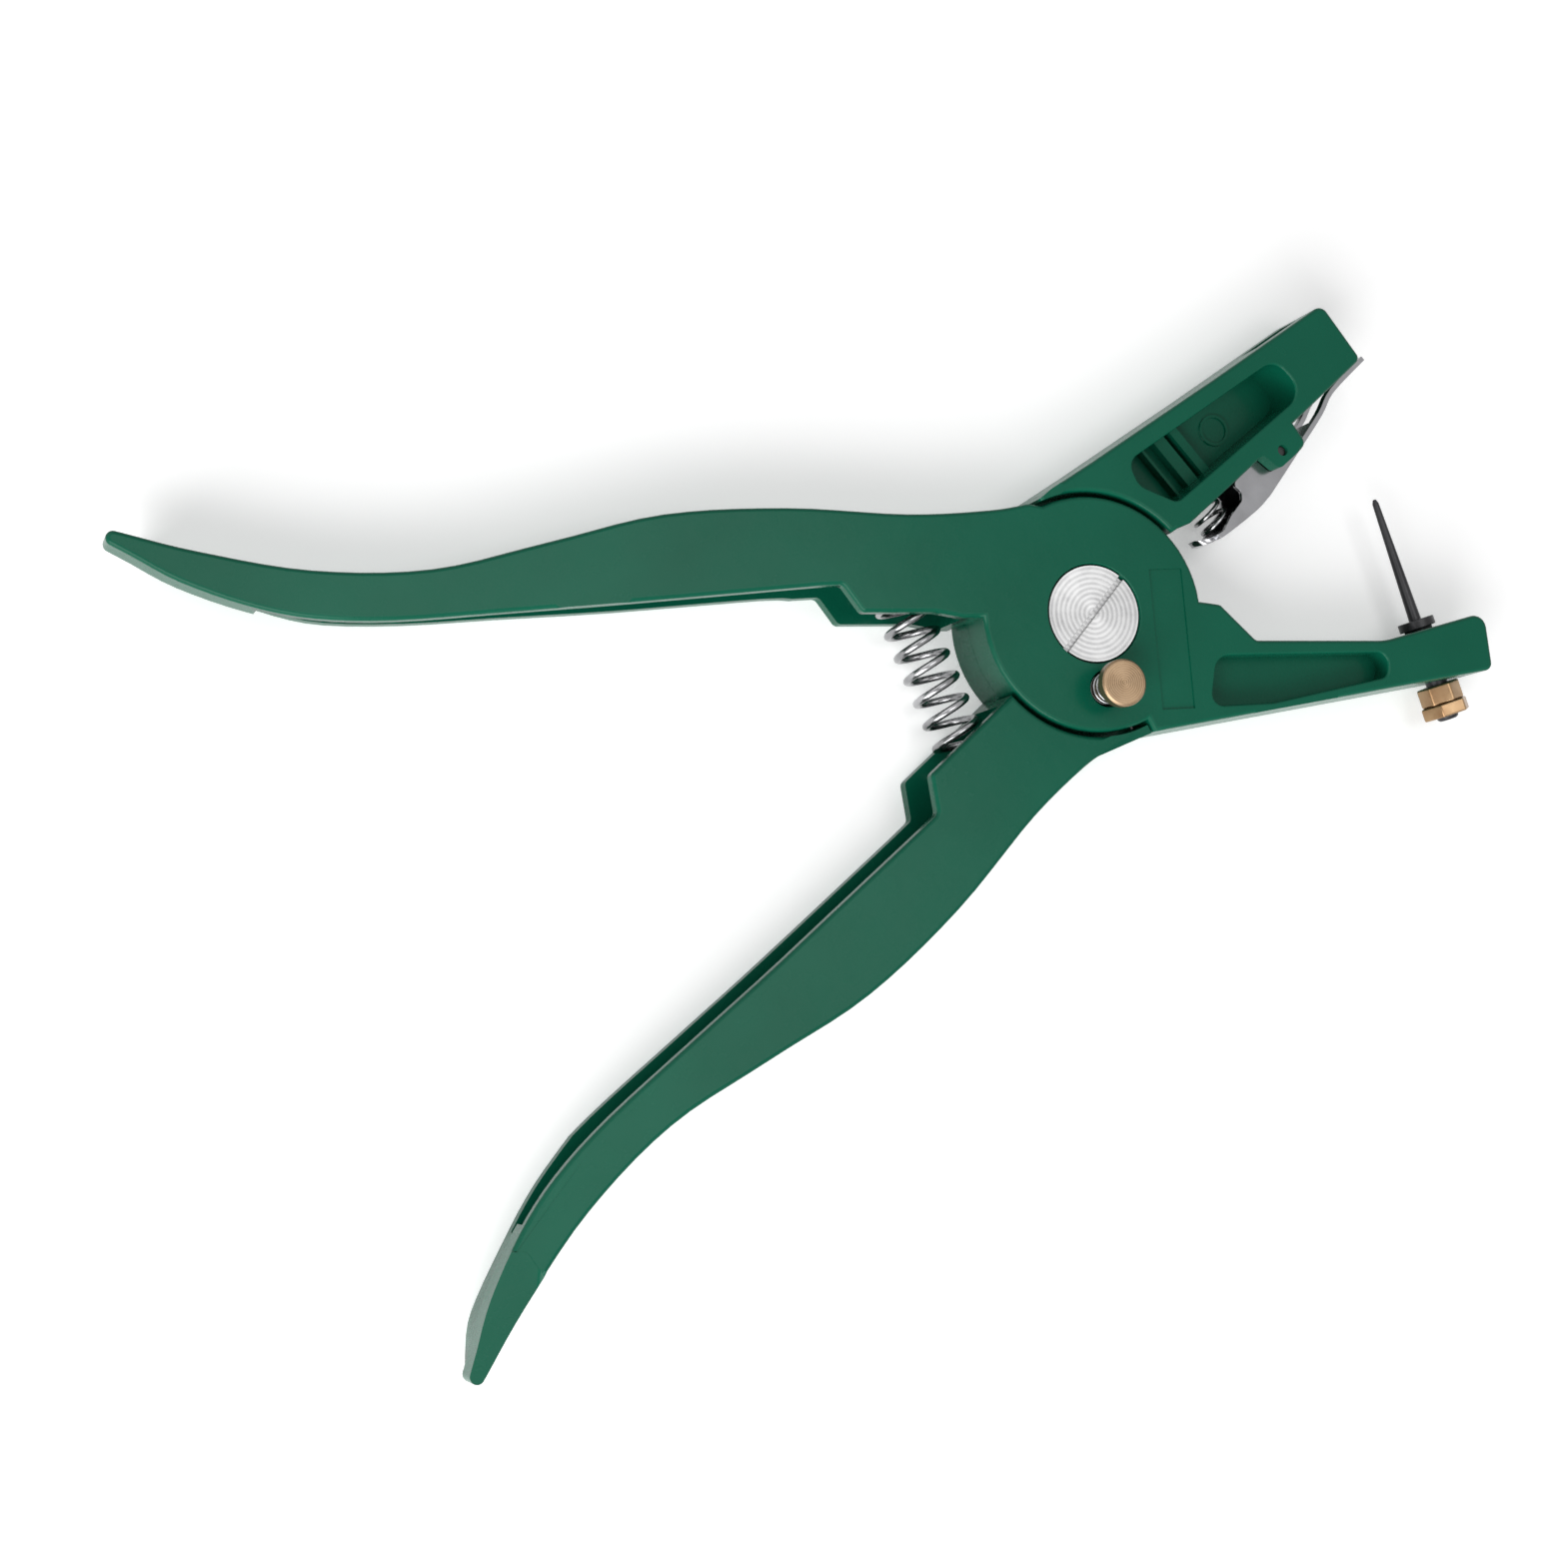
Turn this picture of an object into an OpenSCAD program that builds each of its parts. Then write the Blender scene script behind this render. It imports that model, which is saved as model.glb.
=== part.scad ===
// Ear tag applicator: a hand plier that pushes a two-piece tag through an animal's ear.
// Millimetres, +Z up. The tool lies on its back, spread open, with the pivot axis at the origin.
// +X runs along the middle line of the tool, from the handles to the jaws.

/* [Castings] */
// Distance from the pivot to the tips of the handles
handle_len = 170; // [160:1:180]
// Thickness of both levers from the back face to the front face
body_t = 15.4; // [15:0.1:17]
// Radius of the two half-thickness discs that lap at the pivot
disc_r = 21; // [20.8:0.1:21.3]
// Free width of the round gap between a disc and the other lever
disc_gap = 0.9; // [0.8:0.1:1.1]
// Running gap between the two lapped disc faces
lap_gap = 0.1; // [0.05:0.05:0.2]
// Front and back wall of the handle channels
side_wall = 2.4; // [2.2:0.1:2.6]
// Web along the outer edge of the handle channels
web_t = 3; // [2.6:0.1:3.4]
// Depth of the blind pocket in each face of the needle jaw
pocket_depth = 4.6; // [3:0.1:5]
// Depth of the long window in the front face of the clip jaw
window_depth = 9.6; // [8:0.1:10]
// Thickness of each ear that carries the clip pin
ear_t = 3; // [2.8:0.1:3.2]
// Depth of the bare name panel
panel_depth = 0.3; // [0.2:0.05:0.5]

/* [Pivot] */
// Diameter of the slotted screw head
screw_head_d = 17.2; // [16.5:0.1:17.6]
// Thickness of the screw head and of the nut
screw_head_t = 2.6; // [2.2:0.1:2.8]
// Diameter of the smooth shoulder that the levers turn on
shoulder_d = 10; // [9:0.5:11]
// Diameter of the threaded end of the screw
screw_thread_d = 8; // [7:0.5:8.5]
// Width of the screwdriver slot
slot_w = 1; // [0.8:0.1:1.4]

/* [Springs] */
// Outside diameter of the main spring
main_spring_d = 9.8; // [9.4:0.1:10]
// Wire of the main spring
main_wire_d = 1.4; // [1.2:0.1:1.5]
// Turns of the main spring
main_turns = 12; // [10:1:13]
// Outside diameter of the clip spring
clip_spring_d = 6.6; // [6.2:0.1:6.8]
// Wire of the clip spring
clip_wire_d = 0.8; // [0.6:0.1:0.9]
// Outside diameter of the button spring
button_spring_d = 6; // [5.8:0.1:6.2]
// Wire of the button spring
button_wire_d = 0.6; // [0.5:0.1:0.7]

/* [Needle] */
// Height of the needle tip above its seat on the jaw
needle_len = 26.2; // [24:0.1:27]
// Diameter of the needle at its collar
needle_root_d = 2.3; // [2:0.1:2.6]
// Diameter of the needle just below its point
needle_tip_d = 1.2; // [1:0.1:1.4]
// Diameter of the needle collar
collar_d = 6.8; // [6.4:0.1:7.2]
// Diameter of the threaded needle stem
stem_d = 4; // [3.8:0.1:4.2]
// Width across flats of the needle nut
needle_nut_af = 7; // [6.6:0.1:7.4]
// Width across flats of the lock nut below it
lock_nut_af = 8; // [7.8:0.1:8.4]

/* [Lock button] */
// Diameter of the button head
button_head_d = 8.4; // [8:0.1:8.8]
// Height of the button top above the front face
button_rise = 7; // [6.5:0.1:7.5]
// Diameter of the button shank
button_shank_d = 3.8; // [3.6:0.1:4]

/* [Tag clip] */
// Sheet thickness of the clip
sheet_t = 0.9; // [0.8:0.1:1]
// Width of the clip between the ears
clip_w = 8.8; // [8.4:0.1:9]
// Diameter of the clip pin
clip_pin_d = 2; // [1.8:0.1:2.2]
// Width of the needle opening in the clip nose
nose_slot_w = 5.2; // [4.8:0.1:5.6]

/* [Hidden] */
$fn = 64;

mid_z = body_t / 2;
lap_z = body_t / 2;
recess_r = disc_r + disc_gap;
bore_clear = 0.05;
seat_clear = 0.3;
screw_sink = 0.2;
slot_depth = 1;
over = 1;

// Angles about the pivot in the open pose
stop_a = -85;
stop_clear_a = 0.8;
closing_a = 34;
jaw_a = 18.5;
slot_a = 27;

// Main spring seats, mirrored about the middle line
spring_x = -30.3;
seat_y = 23.3;
spring_end_gap = 0.1;
channel_r = 24.4;
spring_boss_d = main_spring_d - 2 * main_wire_d - 0.4;
spring_boss_h = 3;

// Lock button, in polar form about the pivot, one wall away from the seat of the screw head
button_hole_d = button_spring_d + 0.6;
button_wall = 1.2;
button_r = screw_head_d / 2 + seat_clear + button_wall + button_hole_d / 2;
button_a = 255.8;
button_floor_top = 3.1;
button_floor_t = 1.2;
button_ring_d = 5.4;
button_ring_t = 1;
button_head_t = 2.4;
button_top = body_t + button_rise;
button_end = body_t - button_floor_top - button_floor_t - button_ring_t;
button_profile = [[0, button_top], [button_head_d / 2 - 0.4, button_top],
    [button_head_d / 2, button_top - 0.4], [button_head_d / 2, button_top - button_head_t + 0.2],
    [button_head_d / 2 - 0.2, button_top - button_head_t],
    [button_shank_d / 2, button_top - button_head_t], [button_shank_d / 2, button_end], [0, button_end]];

// Needle seat on the lower jaw and the direction of the needle
needle_seat = [64.35, -27.5];
needle_a = 85.3;
collar_t = 2.4;
jaw_grip = 10.3;
needle_nut_t = 3.6;
lock_nut_t = 2.4;
stem_len = jaw_grip + needle_nut_t + lock_nut_t + 0.8;

// Clip pin in jaw coordinates: along the jaw face and outwards from it
pin_u = 49.7;
pin_v = -2.3;
clip_spring_u = 33.7;
clip_spring_seat = 2.5;
clip_spring_foot = -5.6;
tail_u = 27.2;
tail_w = 5;
tail_len = 3.2;
tail_root_u = tail_u + tail_len;
tail_clear = 0.7;
pin_sink = 0.9;

// Height above which the front half of a handle tip keeps its full outline
tip_step_z = 9.4;
grip_step = 0.25;

// Ribs on the floor of the clip jaw window: place along the jaw and width
window_ribs = [[31.2, 0.5], [34.2, 2.4], [38, 1.7]];
rib_h = 2.4;
window_floor = body_t - window_depth;
ring_r = 2.9;
ring_w = 0.5;
ring_h = 0.4;

// How far the front face of the stop lug lies below the front face of the lever
lug_drop = 1.2;

// One point at a radius and an angle
function polar(r, a) = [r * cos(a), r * sin(a)];

// Clip jaw coordinates turned into the frame of the tool
function jaw(u, v) = [u * cos(jaw_a) - v * sin(jaw_a), u * sin(jaw_a) + v * cos(jaw_a)];

// A list of corners [along, out, radius] of the clip jaw in the frame of the tool
function jaw_corners(list) = [for (c = list) concat(jaw(c[0], c[1]), [c[2]])];

function flipped(points) = [for (i = [len(points) - 1:-1:0]) [points[i][0], -points[i][1]]];
function reversed(points) = [for (i = [len(points) - 1:-1:0]) points[i]];

// Leaves out both end points, which the neighbouring edges hold already
function middle(points) = [for (i = [1:len(points) - 2]) points[i]];
function unit(v) = v / norm(v);

// Smooth curve through a few stations
function curve_point(a, b, c, d, t) =
    0.5 * (2 * b + (c - a) * t + (2 * a - 5 * b + 4 * c - d) * t * t + (3 * b - a - 3 * c + d) * t * t * t);

function curve(p, steps) = concat(
    [for (i = [0:len(p) - 2], k = [0:steps - 1])
        curve_point(p[max(i - 1, 0)], p[i], p[i + 1], p[min(i + 2, len(p) - 1)], k / steps)],
    [p[len(p) - 1]]);

// The same curve moved sideways
function side_step(p, d) = [for (i = [0:len(p) - 1])
    let (along = unit(p[min(i + 1, len(p) - 1)] - p[max(i - 1, 0)]))
    p[i] + d * [-along[1], along[0]]];

// Round one corner b between the neighbours a and c
function arc_corner(a, b, c, steps) =
    let (p = [b[0], b[1]],
        u = unit([a[0], a[1]] - p),
        w = unit([c[0], c[1]] - p),
        half = acos(u * w) / 2,
        centre = p + unit(u + w) * b[2] / sin(half),
        first = p + u * b[2] / tan(half) - centre,
        turn = sign(u[0] * w[1] - u[1] * w[0]) * (2 * half - 180))
    [for (i = [0:steps]) centre + [
        first[0] * cos(turn * i / steps) - first[1] * sin(turn * i / steps),
        first[0] * sin(turn * i / steps) + first[1] * cos(turn * i / steps)]];

// Closed outline from corners [x, y, radius]
function rounded(list, steps = 6) = [for (i = [0:len(list) - 1])
    for (q = list[i][2] > 0
        ? arc_corner(list[(i + len(list) - 1) % len(list)], list[i], list[(i + 1) % len(list)], steps)
        : [[list[i][0], list[i][1]]]) q];

// Carries the stations near a handle tip along the handle when its length changes
grip_shift = polar(handle_len - 170, 154.2);
function at_tip(points) = [for (p = points)
    concat([p[0] + grip_shift[0], p[1] + grip_shift[1]], [for (i = [2:1:len(p) - 1]) p[i]])];

// Outer edge of a handle, from the stations at its root
outer_middle = [[-45.5, 37.3], [-66.5, 44], [-87, 46.7]];
function handle_outer(root) = curve(concat(root, outer_middle,
    at_tip([[-107, 49.5], [-125.3, 56.3], [-141, 65.6], [-150.6, 72.4]])), 5);

// Inner edge of a handle, from its height at the spring end
inner_middle = [[-77.8, 32.3], [-97, 38.1]];
function handle_inner(first_y) = curve(concat([[-46, first_y]], inner_middle,
    at_tip([[-116, 43.9], [-128, 48.9], [-137, 54.6], [-145.5, 62], [-150.6, 68.1]])), 4);

// Whole handle: the corners given lead from the inner edge round the spring seat to the disc
function handle(root, first_y, corners) = concat(handle_outer(root),
    middle(rounded(at_tip([[-150.6, 72.4, 0], [-153.4, 74.4, 1.2], [-153.6, 71.7, 1.2], [-150.6, 68.1, 0]]))),
    reversed(handle_inner(first_y)),
    middle(rounded(concat([[-46, first_y, 0]], corners, [[-23.2, 8.3, 0], [-17, 6, 0], [-6, 12, 0],
        [-0.5, 20.6, 0], [-3.3, 22.3, 0]]))));

needle_handle = handle([[-3.3, 22.3], [-10.6, 23.8], [-25.4, 28.6]], 23,
    [[-41.7, 21.6, 1.2], [-40.3, 15.9, 1.2], [-27.8, 11.1, 0]]);
clip_handle = handle([[-3.3, 22.3], [-10.6, 23.3], [-25.4, 28.1]], 22.1,
    [[-42.2, 20.8, 1.2], [-40.5, 14.2, 1.2], [-27.8, 9.9, 0]]);

// Back half of each handle: its inner edge lies a little further out than that of the front half
needle_back_edge = curve(concat([[-43.5, 21.3], [-48, 23.9], [-60, 27.7], [-77.8, 33], [-97, 39.2]],
    at_tip([[-112, 44], [-124, 48.8], [-131, 53.2], [-138, 59.4], [-147, 68.9], [-152.4, 77]])), 3);
clip_back_edge = curve(at_tip([[-116, 43.2], [-126, 48.6], [-131.5, 52.1], [-137.2, 56.5], [-145.3, 63.3],
    [-149, 67.8], [-153, 76.5]]), 3);

// Front face of the clip lever's handle steps down a little towards the tip
grip_step_outline = at_tip(concat([[-142, 56]],
    arc_corner([-142, 56], [-137.2, 57.2, 2.2], [-135.8, 64.4], 8),
    [[-135.8, 64.4], [-138, 72], [-158, 82], [-160, 66]]));

// Channel of a handle, open to the inner side
channel_floor = side_step(curve(concat(outer_middle,
    at_tip([[-107, 49.5], [-125.3, 56.3], [-134.5, 61.3]])), 5), web_t);
channel_mouth = side_step(curve(concat([[-46, 23]], inner_middle,
    at_tip([[-116, 43.9], [-128, 48.9], [-133, 52]])), 4), 4);
seat_end_x = spring_x - main_spring_d / 2 - 0.4;
channel_outline = concat([[-20, seat_y], [seat_end_x, seat_y], [seat_end_x - 1, seat_y + 1], [-40, 31.2]],
    channel_floor, at_tip([[-136, 56.3]]), reversed(channel_mouth), [[-30, 2], [-20, 2]]);

needle_jaw_corners = [[19, -4.8, 0], [23.9, -7.5, 1.2], [27.8, -16, 1.5], [52.5, -25.7, 12],
    [74.2, -28.5, 2.4], [71.1, -38.8, 1.4],
    concat(polar(23.5, stop_a), [0]), concat(polar(19, stop_a), [0]), [4, -4, 0]];

needle_pocket_corners = [[14.2, -23.4, 2], [19.2, -15.6, 3], [51.8, -27.8, 2.2], [49.8, -31.9, 1.8],
    [26, -27.5, 8]];

tail_relief = [[21.4, -5.5], [30, -12], [30, -17.1], [24.8, -17.1], [23.2, -10.5]];

clip_jaw_corners = jaw_corners([[18, 1.4, 0], [23.4, 0.6, 0], [26.1, -0.3, 2], [44.9, -0.6, 0],
    [46, -0.5, 0], [46.8, -4.4, 1.2], [54.6, -4.6, 1.4], [55.1, -0.1, 0], [74.6, -0.1, 1.2],
    [75.4, 12.3, 1.8], [48, 15.8, 30], [29.3, 18.4, 0], [19.3, 19.8, 20], [9, 21.4, 0], [6.1, 21.5, 0],
    [4.8, 14.2, 0]]);

clip_window_corners = jaw_corners([[26.6, 4.1, 2.2], [60.8, 2.7, 3.6], [60.2, 10.9, 3.4],
    [24.2, 15.6, 2.6], [22.9, 11, 3]]);

module plate(points, bottom, top) {
    translate([0, 0, bottom])
        linear_extrude(top - bottom)
            polygon(points);
}

module disc(r, bottom, top) {
    translate([0, 0, bottom])
        cylinder(h = top - bottom, r = r);
}

// Carries its children to a point in the middle plane with local +Z along an angle
module along(p, a) {
    translate([p[0], p[1], mid_z])
        rotate([0, 0, a])
            rotate([0, 90, 0])
                children();
}

module channel() {
    difference() {
        plate(channel_outline, side_wall, body_t - side_wall);
        disc(channel_r, 0, body_t);
    }
}

module spring_boss() {
    along([spring_x, seat_y + over], -90)
        cylinder(h = spring_boss_h + over, d = spring_boss_d);
}

// What lies between the inner edge of a handle and the given edge of its back half
module back_trim(edge) {
    plate(concat(edge, at_tip([[-160, 76], [-158, 58], [-134, 42]]), [[-100, 32], [-43.5, 16]]),
        -over, tip_step_z);
}

module needle_lever() {
    color([0.08, 0.34, 0.26])
    difference() {
        union() {
            difference() {
                union() {
                    plate(needle_handle, 0, body_t);
                    plate(rounded(needle_jaw_corners), 0, body_t);
                    disc(disc_r, lap_z, body_t);
                }
                channel();
                back_trim(needle_back_edge);
                disc(recess_r, -over, lap_z + lap_gap / 2);
            }
            spring_boss();
        }
        // Pivot hole and the seat of the screw head
        disc(shoulder_d / 2 + bore_clear, 0, body_t);
        disc(screw_head_d / 2 + seat_clear, body_t - screw_head_t - screw_sink, body_t + over);
        // Stepped hole of the lock button
        translate(concat(polar(button_r, button_a), [0])) {
            disc(button_hole_d / 2, body_t - button_floor_top, body_t + over);
            disc(button_shank_d / 2 + bore_clear, lap_z, body_t);
            disc(button_ring_d / 2 + seat_clear, lap_z - over, body_t - button_floor_top - button_floor_t);
        }
        // Blind pockets that lighten the jaw
        plate(rounded(needle_pocket_corners), body_t - pocket_depth, body_t + over);
        plate(rounded(needle_pocket_corners), -over, pocket_depth);
        // Relief that the tail of the clip sinks into when the jaws close
        plate(tail_relief, mid_z - tail_w / 2 - tail_clear, mid_z + tail_w / 2 + tail_clear);
        // Needle stem hole with a flat seat above and below
        along(needle_seat, needle_a) {
            translate([0, 0, -20])
                cylinder(h = 30, d = stem_d + 2 * bore_clear);
            cylinder(h = 4, d = collar_d + 2.4);
            translate([0, 0, -jaw_grip - 4])
                cylinder(h = 4, d = lock_nut_af + 3);
        }
        // Bare name panel
        translate([12.1, -9.6, body_t - panel_depth])
            rotate([0, 0, -19.3])
                translate([-3.2, -12.6, 0])
                    cube([6.4, 25.2, 1]);
    }
}

module clip_lever() {
    color([0.1, 0.38, 0.3])
    difference() {
        union() {
            difference() {
                union() {
                    plate(flipped(clip_handle), 0, body_t);
                    plate(rounded(clip_jaw_corners), 0, body_t);
                    // Lug that meets the stop step of the other lever
                    plate([polar(recess_r - 2, stop_a - stop_clear_a), polar(23.5, stop_a - stop_clear_a),
                        [-10.6, -23.3], [-10.6, -20]], 0, body_t - lug_drop);
                    disc(disc_r, 0, lap_z - lap_gap / 2);
                }
                mirror([0, 1, 0]) {
                    channel();
                    back_trim(clip_back_edge);
                    plate(grip_step_outline, body_t - grip_step, body_t + over);
                }
                disc(recess_r, lap_z - lap_gap / 2, body_t + over);
            }
            mirror([0, 1, 0])
                spring_boss();
        }
        // Pivot hole and the seat of the nut
        disc(shoulder_d / 2 + bore_clear, -over, body_t);
        disc(screw_head_d / 2 + seat_clear, -over, screw_head_t + screw_sink);
        // Blind hole that the lock button drops into when the jaws are closed
        translate(concat(polar(button_r, button_a + closing_a), [0]))
            disc(button_ring_d / 2 + seat_clear, lap_z - 3, body_t);
        // Long window with cross ribs and a raised ring on its floor
        difference() {
            plate(rounded(clip_window_corners), window_floor, body_t + over);
            for (rib = window_ribs)
                plate([jaw(rib[0], 0), jaw(rib[0] + rib[1], 0), jaw(rib[0] + rib[1], 18), jaw(rib[0], 18)],
                    0, window_floor + rib_h);
            translate(concat(jaw(46.6, 7.7), [0]))
                difference() {
                    disc(ring_r, 0, window_floor + ring_h);
                    disc(ring_r - ring_w, -over, body_t);
                }
        }
        // Room for the clip between the two ears
        plate([jaw(37.5, -8), jaw(37.5, 1.2), jaw(46, 2), jaw(53.4, 2), jaw(57, -0.6), jaw(57, -8)],
            ear_t, body_t - ear_t);
        // Slot that the needle passes through, open to the back of the jaw
        plate([jaw(61.6, -3), jaw(71.8, -3), jaw(71.8, 18), jaw(61.6, 18)], mid_z - 3, mid_z + 3);
        // Seat of the clip spring
        along(jaw(clip_spring_u, -4), jaw_a + 90)
            cylinder(h = 4 + clip_spring_seat, d = clip_spring_d + 2 * seat_clear);
        // Pin hole through both ears
        translate(concat(jaw(pin_u, pin_v), [0]))
            disc(clip_pin_d / 2, -over, body_t + over);
    }
}

module pivot_screw() {
    color([0.6, 0.6, 0.62])
    difference() {
        union() {
            disc(screw_head_d / 2, body_t - screw_head_t - screw_sink, body_t - screw_sink);
            disc(shoulder_d / 2, screw_head_t, body_t - screw_head_t);
            disc(screw_thread_d / 2, 0, body_t / 2);
        }
        rotate([0, 0, slot_a])
            translate([-screw_head_d, -slot_w / 2, body_t - screw_sink - slot_depth])
                cube([2 * screw_head_d, slot_w, screw_head_t]);
    }
}

module pivot_nut() {
    color([0.6, 0.6, 0.62])
    difference() {
        disc(screw_head_d / 2, 0, screw_head_t);
        disc(screw_thread_d / 2, -over, body_t);
        for (a = [0, 180])
            translate(concat(polar(6.3, a), [-over]))
                cylinder(h = 1.6 + over, d = 2);
    }
}

// Round wire along a helix that starts at the origin and climbs along local +Z
module coil(coil_d, wire_d, height, turns, steps, sides) {
    r = (coil_d - wire_d) / 2;
    n = turns * steps;
    climb = height - wire_d;
    rings = [for (i = [0:n], k = [0:sides - 1])
        let (a = 360 * i / steps,
            t = i / n,
            w = 360 * k / sides,
            reach = r + wire_d / 2 * cos(w))
        [reach * cos(a), reach * sin(a),
            wire_d / 2 * (1 + sin(w)) + climb * (t + sin(360 * t) * -0.1)]];
    faces = concat(
        [[for (k = [0:sides - 1]) k]],
        [for (i = [0:n - 1], k = [0:sides - 1])
            [i * sides + k, (i + 1) * sides + k,
            (i + 1) * sides + (k + 1) % sides, i * sides + (k + 1) % sides]],
        [[for (k = [sides - 1:-1:0]) n * sides + k]]);
    polyhedron(rings, faces, convexity = 8);
}

module main_spring() {
    color([0.45, 0.45, 0.44])
    along([spring_x, -seat_y + spring_end_gap], 90)
        coil(main_spring_d, main_wire_d, 2 * (seat_y - spring_end_gap), main_turns, 14, 6);
}

module lock_button() {
    color([0.72, 0.53, 0.3])
    translate(concat(polar(button_r, button_a), [0]))
        rotate_extrude()
            polygon(button_profile);
}

module button_ring() {
    color([0.3, 0.3, 0.32])
    translate(concat(polar(button_r, button_a), [0]))
        difference() {
            disc(button_ring_d / 2, button_end, button_end + button_ring_t - 0.05);
            disc(button_shank_d / 2, 0, body_t);
        }
}

module button_spring() {
    color([0.55, 0.5, 0.48])
    translate(concat(polar(button_r, button_a), [body_t - button_floor_top + 0.05]))
        coil(button_spring_d, button_wire_d, button_floor_top + button_rise - button_head_t - 0.1, 5, 14, 6);
}

// Needle with its collar and threaded stem, along local +Z from the seat on the jaw
needle_profile = [[0, -stem_len], [stem_d / 2 - 0.4, -stem_len], [stem_d / 2, -stem_len + 0.4],
    [stem_d / 2, 0], [collar_d / 2 - 0.8, 0], [collar_d / 2 - 0.8, 0.8], [collar_d / 2, 0.8],
    [collar_d / 2, collar_t], [needle_root_d / 2, collar_t], [needle_tip_d / 2, needle_len - 0.8],
    [0.3, needle_len], [0, needle_len]];

module needle() {
    color([0.08, 0.08, 0.09])
    along(needle_seat, needle_a)
        rotate_extrude()
            polygon(needle_profile);
}

// Hexagon nut that starts at its upper face and hangs down
module hex_nut(across_flats, height) {
    translate([0, 0, -height])
        difference() {
            cylinder(h = height, d = across_flats / cos(30), $fn = 6);
            translate([0, 0, -over])
                cylinder(h = height + 2 * over, d = stem_d);
        }
}

module needle_nut() {
    color([0.78, 0.6, 0.33])
    along(needle_seat, needle_a)
        translate([0, 0, -jaw_grip])
            hex_nut(needle_nut_af, needle_nut_t);
}

module needle_lock_nut() {
    color([0.72, 0.5, 0.26])
    along(needle_seat, needle_a)
        translate([0, 0, -jaw_grip - needle_nut_t])
            rotate([0, 0, 20])
                hex_nut(lock_nut_af, lock_nut_t);
}

// Middle line of the clip sheet in jaw coordinates, from the curled tail to the nose
clip_line = curve([[tail_u, -4.5], [tail_u + 1, -5.3], [tail_u + 3.8, -6.35], [39, -7.1], [43, -6.95],
    [46, -6.4], [54, -4.7], [62.6, -2.8], [67.5, -1.2], [77, -0.8]], 4);
clip_low = side_step(clip_line, -sheet_t / 2);
clip_high = side_step(clip_line, sheet_t / 2);
clip_sheet = [for (p = concat(clip_low, reversed(clip_high))) jaw(p[0], p[1])];

clip_flange_corners = jaw_corners([[31.5, -6.2, 0], [34.9, -5, 2], [38.6, -4.4, 1.2], [39.6, -3.2, 0.8],
    [39.3, -1, 0.8], [46, -0.8, 1], [48.6, 0.7, 1.6], [51.6, 0.6, 1.6], [53, -4.9, 0], [46, -6.4, 0],
    [39, -7.1, 0], [34.6, -6.8, 0]]);

module tag_clip() {
    color([0.7, 0.7, 0.72])
    difference() {
        union() {
            plate(clip_sheet, mid_z - clip_w / 2, mid_z + clip_w / 2);
            for (z = [mid_z - clip_w / 2, mid_z + clip_w / 2 - sheet_t])
                plate(rounded(clip_flange_corners), z, z + sheet_t);
        }
        translate(concat(jaw(pin_u, pin_v), [0]))
            disc(clip_pin_d / 2 + bore_clear, 0, body_t);
        // Forked nose that the needle passes through
        plate([jaw(60.5, -6), jaw(80, -6), jaw(80, 3), jaw(60.5, 3)],
            mid_z - nose_slot_w / 2, mid_z + nose_slot_w / 2);
        // Narrow tail with a round end
        for (side = [0, 1])
            mirror([0, 0, side])
                translate([0, 0, side * -body_t])
                    plate([jaw(tail_u - 2, -12), jaw(tail_root_u, -12), jaw(tail_root_u, 0),
                        jaw(tail_u - 2, 0)], mid_z + tail_w / 2, body_t);
        along(jaw(tail_u + tail_w / 2, -12), jaw_a + 90)
            difference() {
                translate([-tail_w, 0, 0])
                    cube([2 * tail_w, tail_w, 12]);
                translate([0, 0, -over])
                    cylinder(h = 12 + 2 * over, d = tail_w);
            }
    }
}

module clip_pin() {
    color([0.35, 0.35, 0.36])
    translate(concat(jaw(pin_u, pin_v), [0]))
        disc(clip_pin_d / 2, pin_sink, body_t - pin_sink);
}

module clip_spring() {
    color([0.4, 0.4, 0.42])
    along(jaw(clip_spring_u, clip_spring_foot), jaw_a + 90)
        coil(clip_spring_d, clip_wire_d, clip_spring_seat - clip_spring_foot - spring_end_gap, 4, 14, 6);
}

needle_lever();
clip_lever();
pivot_screw();
pivot_nut();
main_spring();
lock_button();
button_spring();
button_ring();
needle();
needle_nut();
needle_lock_nut();
tag_clip();
clip_pin();
clip_spring();
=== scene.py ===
import math
import bpy
import bmesh
from mathutils import Matrix, Vector
from mathutils.bvhtree import BVHTree


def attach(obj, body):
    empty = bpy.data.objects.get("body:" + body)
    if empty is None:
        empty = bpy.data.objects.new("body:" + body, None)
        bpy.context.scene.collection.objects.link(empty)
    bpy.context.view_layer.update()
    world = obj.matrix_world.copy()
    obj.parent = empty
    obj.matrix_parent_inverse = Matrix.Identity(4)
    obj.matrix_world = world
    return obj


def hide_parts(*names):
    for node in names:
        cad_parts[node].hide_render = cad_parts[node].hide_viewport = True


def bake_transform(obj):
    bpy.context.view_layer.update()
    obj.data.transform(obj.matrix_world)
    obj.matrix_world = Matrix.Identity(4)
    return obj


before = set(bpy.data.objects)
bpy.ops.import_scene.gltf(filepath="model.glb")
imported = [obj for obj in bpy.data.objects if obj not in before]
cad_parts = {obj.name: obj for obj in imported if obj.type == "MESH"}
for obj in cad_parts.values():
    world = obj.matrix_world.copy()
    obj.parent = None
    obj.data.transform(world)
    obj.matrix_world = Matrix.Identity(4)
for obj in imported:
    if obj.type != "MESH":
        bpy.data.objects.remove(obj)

scene = bpy.context.scene
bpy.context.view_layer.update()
mm = 0.001
print("frame loaded")

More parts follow.
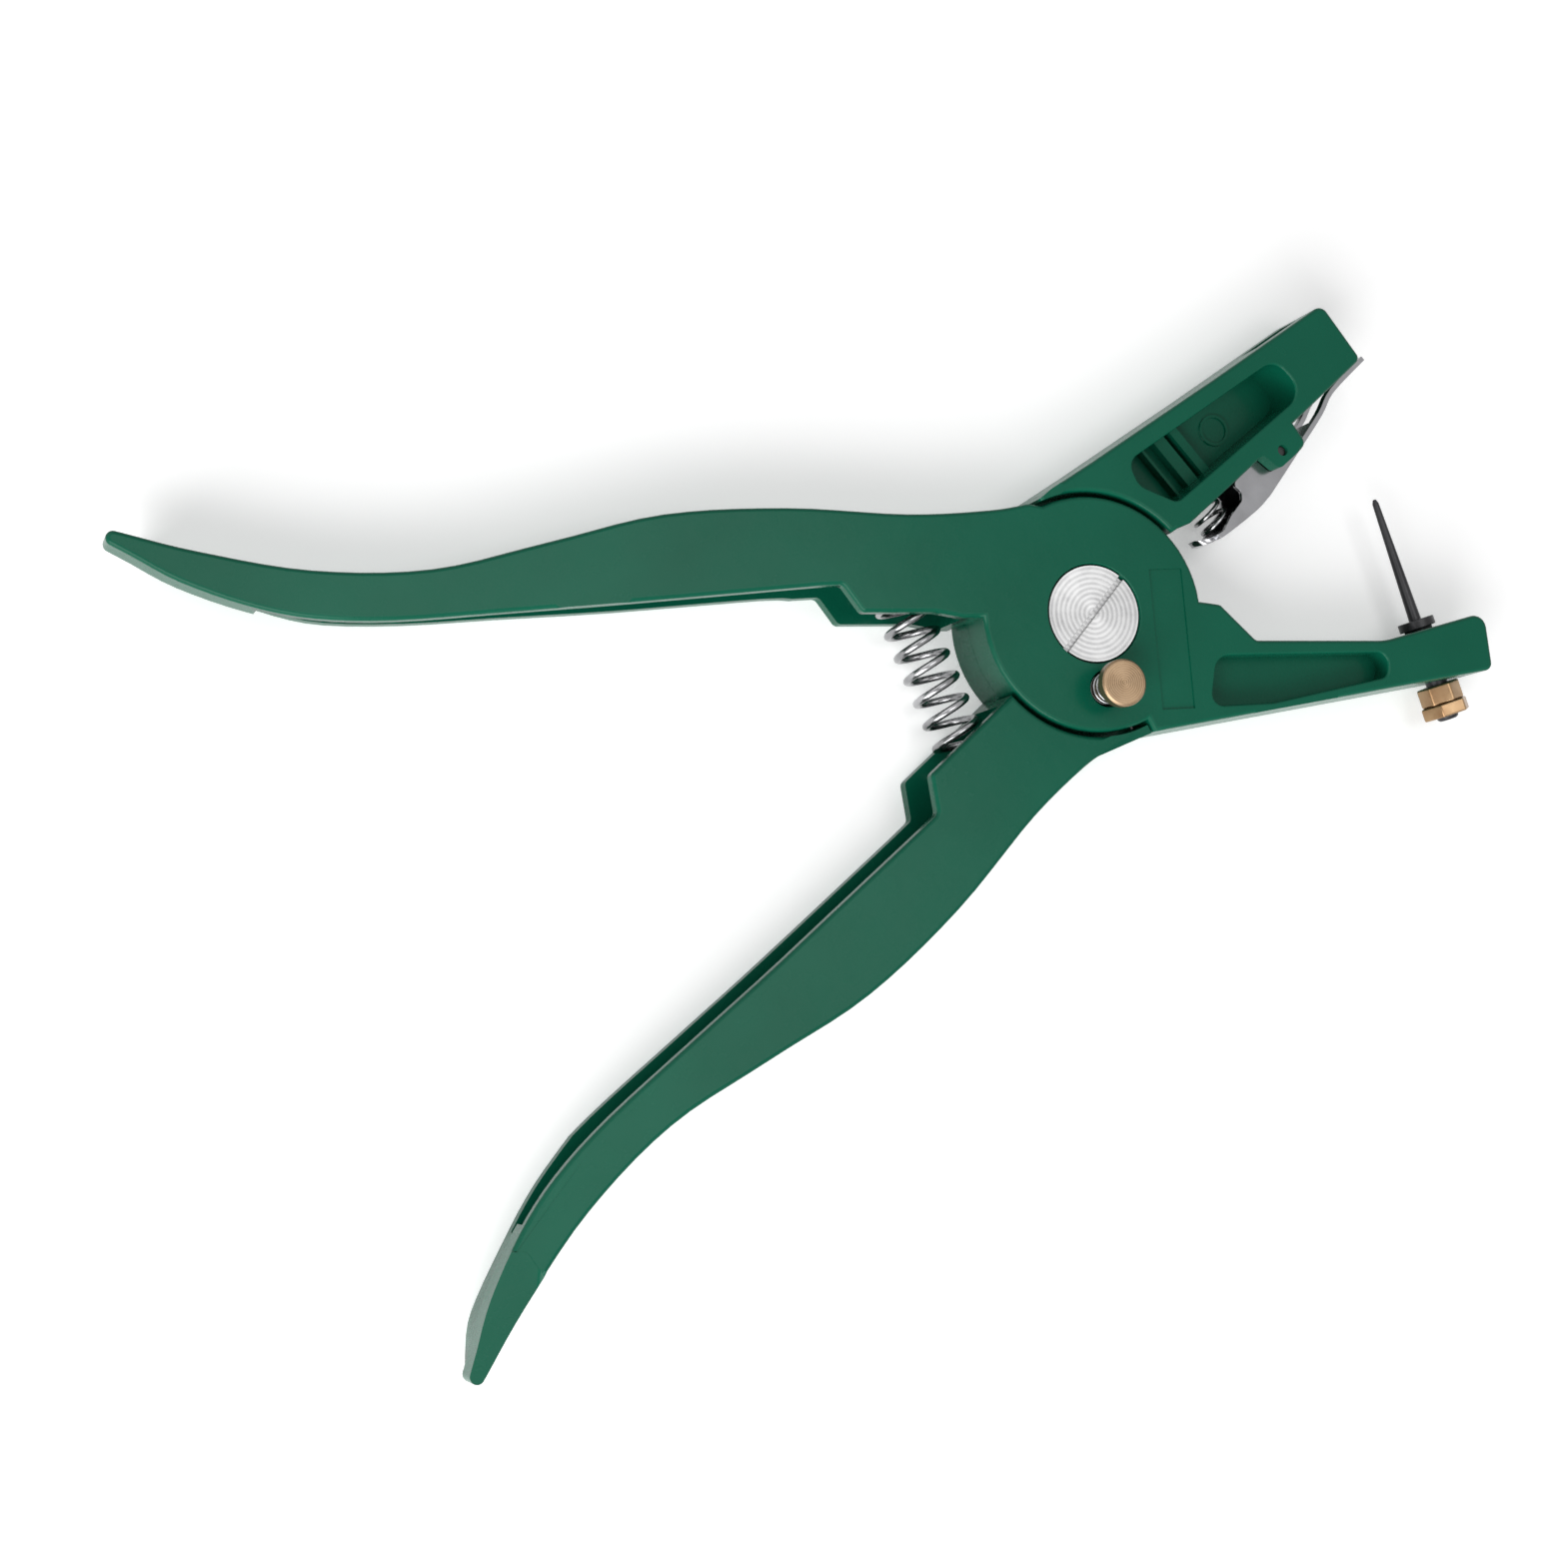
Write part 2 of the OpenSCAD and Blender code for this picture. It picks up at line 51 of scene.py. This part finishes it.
# Places shared with the construction, in millimetres in the frame of the tool
layout = {
    "bodyThick": 15.4,
    "jawAngle": 18.5,
    "springX": -30.3,
    "springSeatY": 23.3,
    "buttonRadius": 13.4,
    "buttonAngle": 255.8,
    "clipSpringAlong": 33.7,
    "clipSpringFoot": -5.6,
    "clipSpringSeat": 2.5,
    "springEndGap": 0.1,
    "buttonFloorDepth": 3.05,
    "buttonHeadHeight": 4.55,
}
midZ = layout["bodyThick"] / 2
frontZ = layout["bodyThick"]


def at(x, y, z):
    return Vector((x * mm, y * mm, z * mm))


def jawPoint(along, out, z=midZ):
    a = math.radians(layout["jawAngle"])
    return at(along * math.cos(a) - out * math.sin(a), along * math.sin(a) + out * math.cos(a), z)


def polarPoint(radius, degrees, z=0.0):
    a = math.radians(degrees)
    return at(radius * math.cos(a), radius * math.sin(a), z)


buttonCentre = polarPoint(layout["buttonRadius"], layout["buttonAngle"])


def startMaterial(name):
    material = bpy.data.materials.new(name)
    material.use_nodes = True
    tree = material.node_tree
    return material, tree, tree.nodes["Principled BSDF"]


def addNode(tree, kind, **values):
    made = tree.nodes.new(kind)
    for key, value in values.items():
        if hasattr(made, key):
            setattr(made, key, value)
        else:
            made.inputs[key.replace("_", " ")].default_value = value
    return made


def objectPoints(tree, centre=(0, 0, 0)):
    coordinates = addNode(tree, "ShaderNodeTexCoord")
    mapping = addNode(tree, "ShaderNodeMapping", vector_type="TEXTURE")
    mapping.inputs["Location"].default_value = centre
    tree.links.new(coordinates.outputs["Object"], mapping.inputs["Vector"])
    return mapping.outputs["Vector"]


def noiseOn(tree, points, scale, detail=4.0, roughness=0.55):
    noise = addNode(tree, "ShaderNodeTexNoise", Scale=scale, Detail=detail, Roughness=roughness)
    tree.links.new(points, noise.inputs["Vector"])
    return noise.outputs["Fac"]


def rampOn(tree, factor, stops):
    ramp = addNode(tree, "ShaderNodeValToRGB")
    while len(ramp.color_ramp.elements) < len(stops):
        ramp.color_ramp.elements.new(0.5)
    for element, (place, colour) in zip(ramp.color_ramp.elements, stops):
        element.position = place
        element.color = (*colour, 1)
    tree.links.new(factor, ramp.inputs["Fac"])
    return ramp.outputs["Color"]


def bumpOn(tree, heights, shader):
    last = None
    for height, strength, distance in heights:
        bump = addNode(tree, "ShaderNodeBump", Strength=strength, Distance=distance)
        tree.links.new(height, bump.inputs["Height"])
        if last is not None:
            tree.links.new(last, bump.inputs["Normal"])
        last = bump.outputs["Normal"]
    tree.links.new(last, shader.inputs["Normal"])


def rangeOn(tree, factor, low, high):
    mapped = addNode(tree, "ShaderNodeMapRange")
    mapped.inputs["To Min"].default_value = low
    mapped.inputs["To Max"].default_value = high
    tree.links.new(factor, mapped.inputs["Value"])
    return mapped.outputs["Result"]


enamelLook = {
    "deep": (0.0018, 0.088, 0.049),
    "light": (0.0028, 0.106, 0.06),
    "gloss": 0.12,
    "coat": 0.06,
    "coatRoughness": 0.14,
    "roughLow": 0.22,
    "roughHigh": 0.32,
    "orangePeel": 700.0,
    "castGrain": 230.0,
}


def makeEnamel(name, look):
    material, tree, shader = startMaterial(name)
    points = objectPoints(tree)
    broad = noiseOn(tree, points, 35.0, 3.0)
    colour = rampOn(tree, broad, [(0.3, look["deep"]), (0.72, look["light"])])
    tree.links.new(colour, shader.inputs["Base Color"])
    grain = noiseOn(tree, points, look["castGrain"], 5.0)
    rough = rangeOn(tree, grain, look["roughLow"], look["roughHigh"])
    tree.links.new(rough, shader.inputs["Roughness"])
    peel = noiseOn(tree, points, look["orangePeel"], 2.0)
    bumpOn(tree, [(grain, 0.2, 0.00018), (peel, 0.12, 0.00005)], shader)
    shader.inputs["Specular IOR Level"].default_value = look["gloss"]
    shader.inputs["Coat Weight"].default_value = look["coat"]
    shader.inputs["Coat Roughness"].default_value = look["coatRoughness"]
    return material


def makeTurned(name, centre, dark, light, ringStep, roughness, anisotropic, metallic, ringDepth=0.00002):
    material, tree, shader = startMaterial(name)
    points = objectPoints(tree, centre)
    wave = addNode(tree, "ShaderNodeTexWave", wave_type="RINGS", rings_direction="Z", wave_profile="SIN")
    wave.inputs["Scale"].default_value = 2 * math.pi / (20 * ringStep)  # one ring of the tool in each ringStep
    wave.inputs["Distortion"].default_value = 0.15
    wave.inputs["Detail"].default_value = 2.0
    tree.links.new(points, wave.inputs["Vector"])
    cloud = noiseOn(tree, points, 420.0, 4.0)
    mixed = addNode(tree, "ShaderNodeMath", operation="MULTIPLY_ADD")
    mixed.inputs[1].default_value = 0.45
    tree.links.new(wave.outputs["Fac"], mixed.inputs[0])
    tree.links.new(cloud, mixed.inputs[2])
    colour = rampOn(tree, mixed.outputs[0], [(0.25, dark), (0.95, light)])
    tree.links.new(colour, shader.inputs["Base Color"])
    rough = rangeOn(tree, cloud, roughness - 0.06, roughness + 0.08)
    tree.links.new(rough, shader.inputs["Roughness"])
    around = addNode(tree, "ShaderNodeVectorMath", operation="CROSS_PRODUCT")
    around.inputs[0].default_value = (0, 0, 1)
    tree.links.new(points, around.inputs[1])
    even = addNode(tree, "ShaderNodeVectorMath", operation="NORMALIZE")
    tree.links.new(around.outputs[0], even.inputs[0])
    tree.links.new(even.outputs[0], shader.inputs["Tangent"])
    bumpOn(tree, [(wave.outputs["Fac"], 0.5, ringDepth)], shader)
    shader.inputs["Metallic"].default_value = metallic
    shader.inputs["Anisotropic"].default_value = anisotropic
    return material


def makeMetal(name, dark, light, roughness, grainScale, metallic=1.0, depth=0.00002):
    material, tree, shader = startMaterial(name)
    points = objectPoints(tree)
    grain = noiseOn(tree, points, grainScale, 5.0, 0.6)
    broad = noiseOn(tree, points, 160.0, 3.0)
    tree.links.new(rampOn(tree, broad, [(0.3, dark), (0.7, light)]), shader.inputs["Base Color"])
    tree.links.new(rangeOn(tree, grain, roughness - 0.07, roughness + 0.09), shader.inputs["Roughness"])
    bumpOn(tree, [(grain, 0.3, depth)], shader)
    shader.inputs["Metallic"].default_value = metallic
    return material


turnedSteelLook = {"dark": (0.38, 0.38, 0.385), "light": (0.66, 0.66, 0.66), "ringStep": 0.0009,
                   "roughness": 0.42, "anisotropic": 0.6, "metallic": 0.7}
turnedBrassLook = {"dark": (0.22, 0.14, 0.075), "light": (0.36, 0.25, 0.155), "ringStep": 0.0004,
                   "roughness": 0.32, "anisotropic": 0.7, "metallic": 0.85}
machinedBrassLook = {"dark": (0.26, 0.15, 0.075), "light": (0.44, 0.3, 0.17), "roughness": 0.3,
                     "grainScale": 900.0, "metallic": 0.9}
wireSteelLook = {"dark": (0.2, 0.2, 0.205), "light": (0.44, 0.44, 0.45), "roughness": 0.2,
                 "grainScale": 1500.0}
blackSteelLook = {"dark": (0.01, 0.01, 0.012), "light": (0.024, 0.024, 0.027), "roughness": 0.36,
                  "grainScale": 1200.0, "metallic": 0.3}
platedSheetLook = {"dark": (0.31, 0.31, 0.32), "light": (0.38, 0.38, 0.395), "roughness": 0.16,
                   "grainScale": 700.0, "depth": 0.00001}
oiledSteelLook = {"dark": (0.03, 0.03, 0.03), "light": (0.09, 0.09, 0.09), "roughness": 0.35,
                  "grainScale": 900.0}

enamel = makeEnamel("green enamel", enamelLook)
turnedSteel = makeTurned("turned steel", (0, 0, 0), **turnedSteelLook)
turnedBrass = makeTurned("turned brass", tuple(buttonCentre), **turnedBrassLook)
machinedBrass = makeMetal("machined brass", **machinedBrassLook)
wireSteel = makeMetal("drawn wire", **wireSteelLook)
blackSteel = makeMetal("blackened steel", **blackSteelLook)
platedSheet = makeMetal("plated sheet", **platedSheetLook)
oiledSteel = makeMetal("oiled steel", **oiledSteelLook)
print("materials made")


def pieceFrom(bm, name, body, material, replaced=None, smoothAngle=35):
    mesh = bpy.data.meshes.new(name)
    bm.to_mesh(mesh)
    bm.free()
    piece = bpy.data.objects.new(name, mesh)
    scene.collection.objects.link(piece)
    mesh.materials.append(material)
    mesh.shade_smooth()
    mesh.set_sharp_from_angle(angle=math.radians(smoothAngle))
    if body:
        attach(piece, body)
    if replaced:
        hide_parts(replaced)
    return piece


def evenFlats(piece):
    # flat faces keep an even shade beside the rounded edges
    flats = piece.modifiers.new("even flats", "WEIGHTED_NORMAL")
    flats.keep_sharp = True
    flats.weight = 100


nodeMerge = {"distance": 0.004, "flatAngle": 0.6}


def copyOfNode(node):
    bm = bmesh.new()
    bm.from_mesh(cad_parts[node].data)
    bmesh.ops.remove_doubles(bm, verts=bm.verts, dist=nodeMerge["distance"] * mm)
    flatAngle = math.radians(nodeMerge["flatAngle"])
    bmesh.ops.dissolve_limit(bm, angle_limit=flatAngle, use_dissolve_boundaries=False,
                             verts=bm.verts, edges=bm.edges, delimit={"NORMAL"})
    return bm


def roundEdges(bm, width, segments, minAngle):
    paired = [e for e in bm.edges if len(e.link_faces) == 2]
    edges = [e for e in paired if e.calc_face_angle() > math.radians(minAngle)]
    bmesh.ops.bevel(bm, geom=edges, affect="EDGES", offset=width * mm, offset_type="OFFSET",
                    segments=segments, profile=0.5, material=-1, clamp_overlap=True, harden_normals=False)


castings = {
    "outlineRound": 0.75,
    "pocketRound": 0.45,
    "holeRound": 0.25,
    "segments": 3,
    "outlineSpan": 60,
    "holeSpan": 18,
    "roomForRound": 2.2,
    "probeDepth": 0.5,
    "probeLift": 0.02,
    "probeShares": (0.03, 0.5, 0.97),
    "backBelow": 0.5,
    "levelWithin": 0.02,
    "edgeAngle": 40,
    "flatNormal": 0.99,
    "faceHeights": (0, 15.15, 15.4),
    "longEdge": 3,
    "shortLoop": 3,
    "pinCentre": (47.861, 13.589),
    "pinClear": 4.2,
}


def flatBeside(edge):
    heights = [v.co.z / mm for v in edge.verts]
    within = castings["levelWithin"]
    level = any(all(abs(h - z) < within for h in heights) for z in castings["faceHeights"])
    if not level or len(edge.link_faces) != 2 or edge.calc_face_angle() < math.radians(castings["edgeAngle"]):
        return None
    flats = [corner for corner in edge.link_loops if abs(corner.face.normal.z) > castings["flatNormal"]]
    return flats[0] if len(flats) == 1 else None


def faceLoops(bm):
    ordered = [e for e in bm.edges if flatBeside(e)]  # a list, so that each run goes the same way
    waiting = set(ordered)
    loops = []
    for first in ordered:
        if first not in waiting:
            continue
        waiting.remove(first)
        loop = [first]
        for e in loop:  # the list grows while it is walked
            for near in [n for v in e.verts for n in v.link_edges]:
                if near in waiting:
                    waiting.remove(near)
                    loop.append(near)
        loops.append(loop)
    return loops


def loopRound(loop):
    spans = [[v.co[axis] / mm for e in loop for v in e.verts] for axis in (0, 1)]
    span = max(max(values) - min(values) for values in spans)
    if span > castings["outlineSpan"]:
        return castings["outlineRound"]
    return castings["holeRound"] if span < castings["holeSpan"] else castings["pocketRound"]


def roomAt(edge, tree):
    corner = flatBeside(edge)
    normal = corner.face.normal
    inward = normal.cross(corner.link_loop_next.vert.co - corner.vert.co).normalized()
    lift = inward * castings["probeLift"] * mm - normal * castings["probeDepth"] * mm
    probes = [edge.verts[0].co.lerp(edge.verts[1].co, share) + lift for share in castings["probeShares"]]
    hits = [tree.ray_cast(start, inward)[3] for start in probes]
    across = min([hit / mm for hit in hits if hit is not None], default=100)
    wall = next(f for f in edge.link_faces if f is not corner.face)
    heights = [v.co.z / mm for v in wall.verts]
    return min(across, max(heights) - min(heights))


def clearOfPin(edge):
    middle = (edge.verts[0].co + edge.verts[1].co) / 2
    return (middle.xy - Vector(castings["pinCentre"]) * mm).length > castings["pinClear"] * mm


def makeCasting(node, name, body):
    bm = copyOfNode(node)
    longEdge = castings["longEdge"] * mm
    for e in [e for e in bm.edges if flatBeside(e) and e.calc_length() > longEdge]:
        bmesh.ops.subdivide_edges(bm, edges=[e], cuts=int(e.calc_length() / longEdge))
    tree = BVHTree.FromBMesh(bm)
    for loop in faceLoops(bm):
        width = loopRound(loop)
        room = width * castings["roomForRound"]
        roomy = [e for e in loop if roomAt(e, tree) > room and clearOfPin(e)]  # thin places stay crisp
        atBack = loop[0].verts[0].co.z < castings["backBelow"] * mm
        if (atBack or width == castings["holeRound"]) and len(roomy) < len(loop):
            continue  # a back edge or a rim that would stop part-way stays crisp
        if sum(e.calc_length() for e in roomy) > castings["shortLoop"] * mm:
            bmesh.ops.bevel(bm, geom=roomy, affect="EDGES", offset=width * mm, offset_type="OFFSET",
                            segments=castings["segments"], profile=0.5, material=-1, clamp_overlap=False)
    piece = pieceFrom(bm, name, body, enamel, node)
    evenFlats(piece)


makeCasting("needle_lever", "needle_casting", "needle_side")
makeCasting("clip_lever", "clip_casting", "clip_side")
print("castings made")


def makeSpring(name, settings, foot, axisTurn, replaced):
    bm = bmesh.new()
    wire = settings["wire"] * mm
    reach = (settings["outside"] - settings["wire"]) / 2 * mm
    bmesh.ops.create_circle(bm, cap_ends=True, segments=settings["sides"], radius=wire / 2)
    bmesh.ops.rotate(bm, verts=bm.verts, cent=(0, 0, 0), matrix=Matrix.Rotation(math.radians(90), 3, "X"))
    bmesh.ops.translate(bm, verts=bm.verts, vec=(reach, 0, wire / 2))
    closed = settings["closedTurns"]
    active = settings["turns"] - 2 * closed
    closedPitch = wire * settings["closedLift"]
    activePitch = (settings["length"] * mm - wire - 2 * closed * closedPitch) / active
    front = list(bm.faces)
    stages = [(closed, closedPitch), (active, activePitch), (closed, closedPitch)]
    for turns, pitch in stages:
        steps = max(4, round(turns * settings["steps"]))
        rim = dict.fromkeys([e for f in front for e in f.edges])  # kept in order, each once
        corners = dict.fromkeys([v for f in front for v in f.verts])
        geometry = front + list(rim) + list(corners)
        spun = bmesh.ops.spin(bm, geom=geometry, cent=(0, 0, 0), axis=(0, 0, settings["hand"]),
                              dvec=(0, 0, pitch * turns / steps), angle=math.radians(360 * turns), steps=steps)
        front = [g for g in spun["geom_last"] if isinstance(g, bmesh.types.BMFace)]
    bmesh.ops.remove_doubles(bm, verts=bm.verts, dist=wire * 0.01)
    inner = [f for f in bm.faces if all(len(e.link_faces) > 2 for e in f.edges)]
    bmesh.ops.delete(bm, geom=inner, context="FACES_ONLY")
    bmesh.ops.recalc_face_normals(bm, faces=bm.faces)
    bmesh.ops.transform(bm, matrix=Matrix.Translation(foot) @ axisTurn, verts=bm.verts)
    return pieceFrom(bm, name, None, wireSteel, replaced, 60)


mainSpringShape = {"outside": 9.8, "wire": 1.4, "length": 46.4, "turns": 12, "closedTurns": 1.1,
                   "closedLift": 1.02, "steps": 28, "sides": 12, "hand": 1}
clipSpringShape = {"outside": 6.6, "wire": 0.8, "length": 8, "turns": 4, "closedTurns": 0.6,
                   "closedLift": 1.05, "steps": 24, "sides": 10, "hand": 1}
buttonSpringShape = {"outside": 6, "wire": 0.6, "length": 7.6, "turns": 6, "closedTurns": 0.8,
                     "closedLift": 1.05, "steps": 24, "sides": 10, "hand": 1}

seatY = layout["springSeatY"] - layout["springEndGap"]
lowSeat = at(layout["springX"], -seatY, midZ)
alongY = Matrix.Rotation(math.radians(-90), 4, "X")
mainSpring = makeSpring("main_spring_wire", mainSpringShape, lowSeat, alongY, "main_spring")
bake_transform(mainSpring)

clipSpringFoot = jawPoint(layout["clipSpringAlong"], layout["clipSpringFoot"])
clipSpringTurn = Matrix.Rotation(math.radians(layout["jawAngle"]), 4, "Z") @ alongY
clipSpring = makeSpring("clip_spring_wire", clipSpringShape, clipSpringFoot, clipSpringTurn, "clip_spring")
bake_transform(clipSpring)

buttonFloor = buttonCentre + at(0, 0, frontZ - layout["buttonFloorDepth"])
upright = Matrix.Identity(4)
buttonSpring = makeSpring("button_spring_wire", buttonSpringShape, buttonFloor, upright, "button_spring")
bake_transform(buttonSpring)
print("springs made")


edgeRounds = {
    "pivot_screw": 0.18,
    "pivot_nut": 0.2,
    "lock_button": 0.12,
    "button_ring": 0.1,
    "needle": 0.12,
    "needle_nut": 0.4,
    "needle_lock_nut": 0.4,
    "tag_clip": 0.15,
    "clip_pin": 0.15,
    "segments": 2,
    "minAngle": 30,
}


def dressNode(node, name, body, material):
    bm = copyOfNode(node)
    roundEdges(bm, edgeRounds[node], edgeRounds["segments"], edgeRounds["minAngle"])
    piece = pieceFrom(bm, name, body, material, node)
    evenFlats(piece)


dressNode("pivot_screw", "pivot_screw_turned", "needle_side", turnedSteel)
dressNode("pivot_nut", "pivot_nut_turned", "needle_side", turnedSteel)
dressNode("lock_button", "lock_button_turned", "button", turnedBrass)
dressNode("button_ring", "button_ring_turned", "button", oiledSteel)
dressNode("needle", "needle_ground", "needle_side", blackSteel)
dressNode("needle_nut", "needle_nut_hex", "needle_side", machinedBrass)
dressNode("needle_lock_nut", "needle_lock_nut_hex", "needle_side", machinedBrass)
dressNode("tag_clip", "tag_clip_sheet", "clip", platedSheet)
dressNode("clip_pin", "clip_pin_turned", "clip_side", oiledSteel)
print("turned parts made")


stageLook = {
    "floorReach": 3,
    "floorColour": (0.93, 0.93, 0.93),
    "floorRoughness": 0.9,
    "floorGloss": 0.1,
    "floorLift": 0.32,
    "worldStrength": 0.12,
}


def seenDirectly(tree):
    path = addNode(tree, "ShaderNodeLightPath")
    seen = path.outputs["Is Camera Ray"]
    for kind in ("Is Glossy Ray", "Is Transmission Ray"):  # metal shows the same pale background
        larger = addNode(tree, "ShaderNodeMath", operation="MAXIMUM")
        tree.links.new(seen, larger.inputs[0])
        tree.links.new(path.outputs[kind], larger.inputs[1])
        seen = larger.outputs[0]
    return seen


def makeFloor():
    bm = bmesh.new()
    bmesh.ops.create_grid(bm, x_segments=1, y_segments=1, size=stageLook["floorReach"])
    mesh = bpy.data.meshes.new("floor")
    bm.to_mesh(mesh)
    bm.free()
    floor = bpy.data.objects.new("floor", mesh)
    scene.collection.objects.link(floor)
    material, tree, shader = startMaterial("pale floor")
    shader.inputs["Base Color"].default_value = (*stageLook["floorColour"], 1)
    shader.inputs["Roughness"].default_value = stageLook["floorRoughness"]
    shader.inputs["Specular IOR Level"].default_value = stageLook["floorGloss"]
    glow = addNode(tree, "ShaderNodeEmission", Strength=stageLook["floorLift"])
    both = addNode(tree, "ShaderNodeAddShader")
    chosen = addNode(tree, "ShaderNodeMixShader")
    output = tree.nodes["Material Output"]
    tree.links.new(shader.outputs[0], both.inputs[0])
    tree.links.new(glow.outputs[0], both.inputs[1])
    tree.links.new(seenDirectly(tree), chosen.inputs[0])
    tree.links.new(shader.outputs[0], chosen.inputs[1])
    tree.links.new(both.outputs[0], chosen.inputs[2])
    tree.links.new(chosen.outputs[0], output.inputs["Surface"])
    mesh.materials.append(material)


def makeWorld():
    world = bpy.data.worlds.new("studio")
    world.use_nodes = True
    scene.world = world
    tree = world.node_tree
    background = tree.nodes["Background"]
    white = addNode(tree, "ShaderNodeBackground")
    mix = addNode(tree, "ShaderNodeMixShader")
    background.inputs["Color"].default_value = (1, 1, 1, 1)
    background.inputs["Strength"].default_value = stageLook["worldStrength"]
    tree.links.new(seenDirectly(tree), mix.inputs[0])
    tree.links.new(background.outputs[0], mix.inputs[1])
    tree.links.new(white.outputs[0], mix.inputs[2])
    tree.links.new(mix.outputs[0], tree.nodes["World Output"].inputs["Surface"])


lamps = {
    "low softbox": {"place": (-0.62, -0.42, 0.45), "target": (-0.05, 0, 0), "width": 0.9, "height": 0.7,
                    "power": 9.5},
    "far fill": {"place": (-0.4, 0.8, 0.75), "target": (-0.04, 0, 0), "width": 1.0, "height": 0.8,
                 "power": 2.5},
    "overhead sheen": {"place": (0.13, 0, 1.05), "target": (0.13, 0, 0), "width": 0.57, "height": 0.6,
                       "power": 2.6},
}


def addLamp(name, place, target, width, height, power):
    data = bpy.data.lights.new(name, "AREA")
    data.shape = "RECTANGLE"
    data.size = width
    data.size_y = height
    data.energy = power
    lamp = bpy.data.objects.new(name, data)
    scene.collection.objects.link(lamp)
    lamp.location = place
    lamp.rotation_mode = "QUATERNION"
    lamp.rotation_quaternion = (Vector(target) - Vector(place)).to_track_quat("-Z", "Y")


makeFloor()
makeWorld()
for lampName, lampValues in lamps.items():
    addLamp(lampName, **lampValues)

# Camera of the photograph: its place, lens and sensor in millimetres, its clip distances in metres
photoView = {
    "place": (-220.170, 5.563, 450.740),
    "right": (0.86333, -0.39344, 0.31600),
    "up": (0.37836, 0.91903, 0.11057),
    "back": (-0.33392, 0.02410, 0.94229),
    "lens": 63.10,
    "sensor": 36,
    "near": 0.01,
    "far": 10,
}


def makeCamera():
    data = bpy.data.cameras.new("photo camera")
    data.lens = photoView["lens"]
    data.sensor_width = photoView["sensor"]
    data.clip_start = photoView["near"]
    data.clip_end = photoView["far"]
    camera = bpy.data.objects.new("photo camera", data)
    scene.collection.objects.link(camera)
    columns = [photoView["right"], photoView["up"], photoView["back"]]
    turn = Matrix(columns).transposed().to_4x4()
    camera.matrix_world = Matrix.Translation(Vector(photoView["place"]) * mm) @ turn
    scene.camera = camera


makeCamera()
scene.view_settings.view_transform = "Standard"
print("stage made")
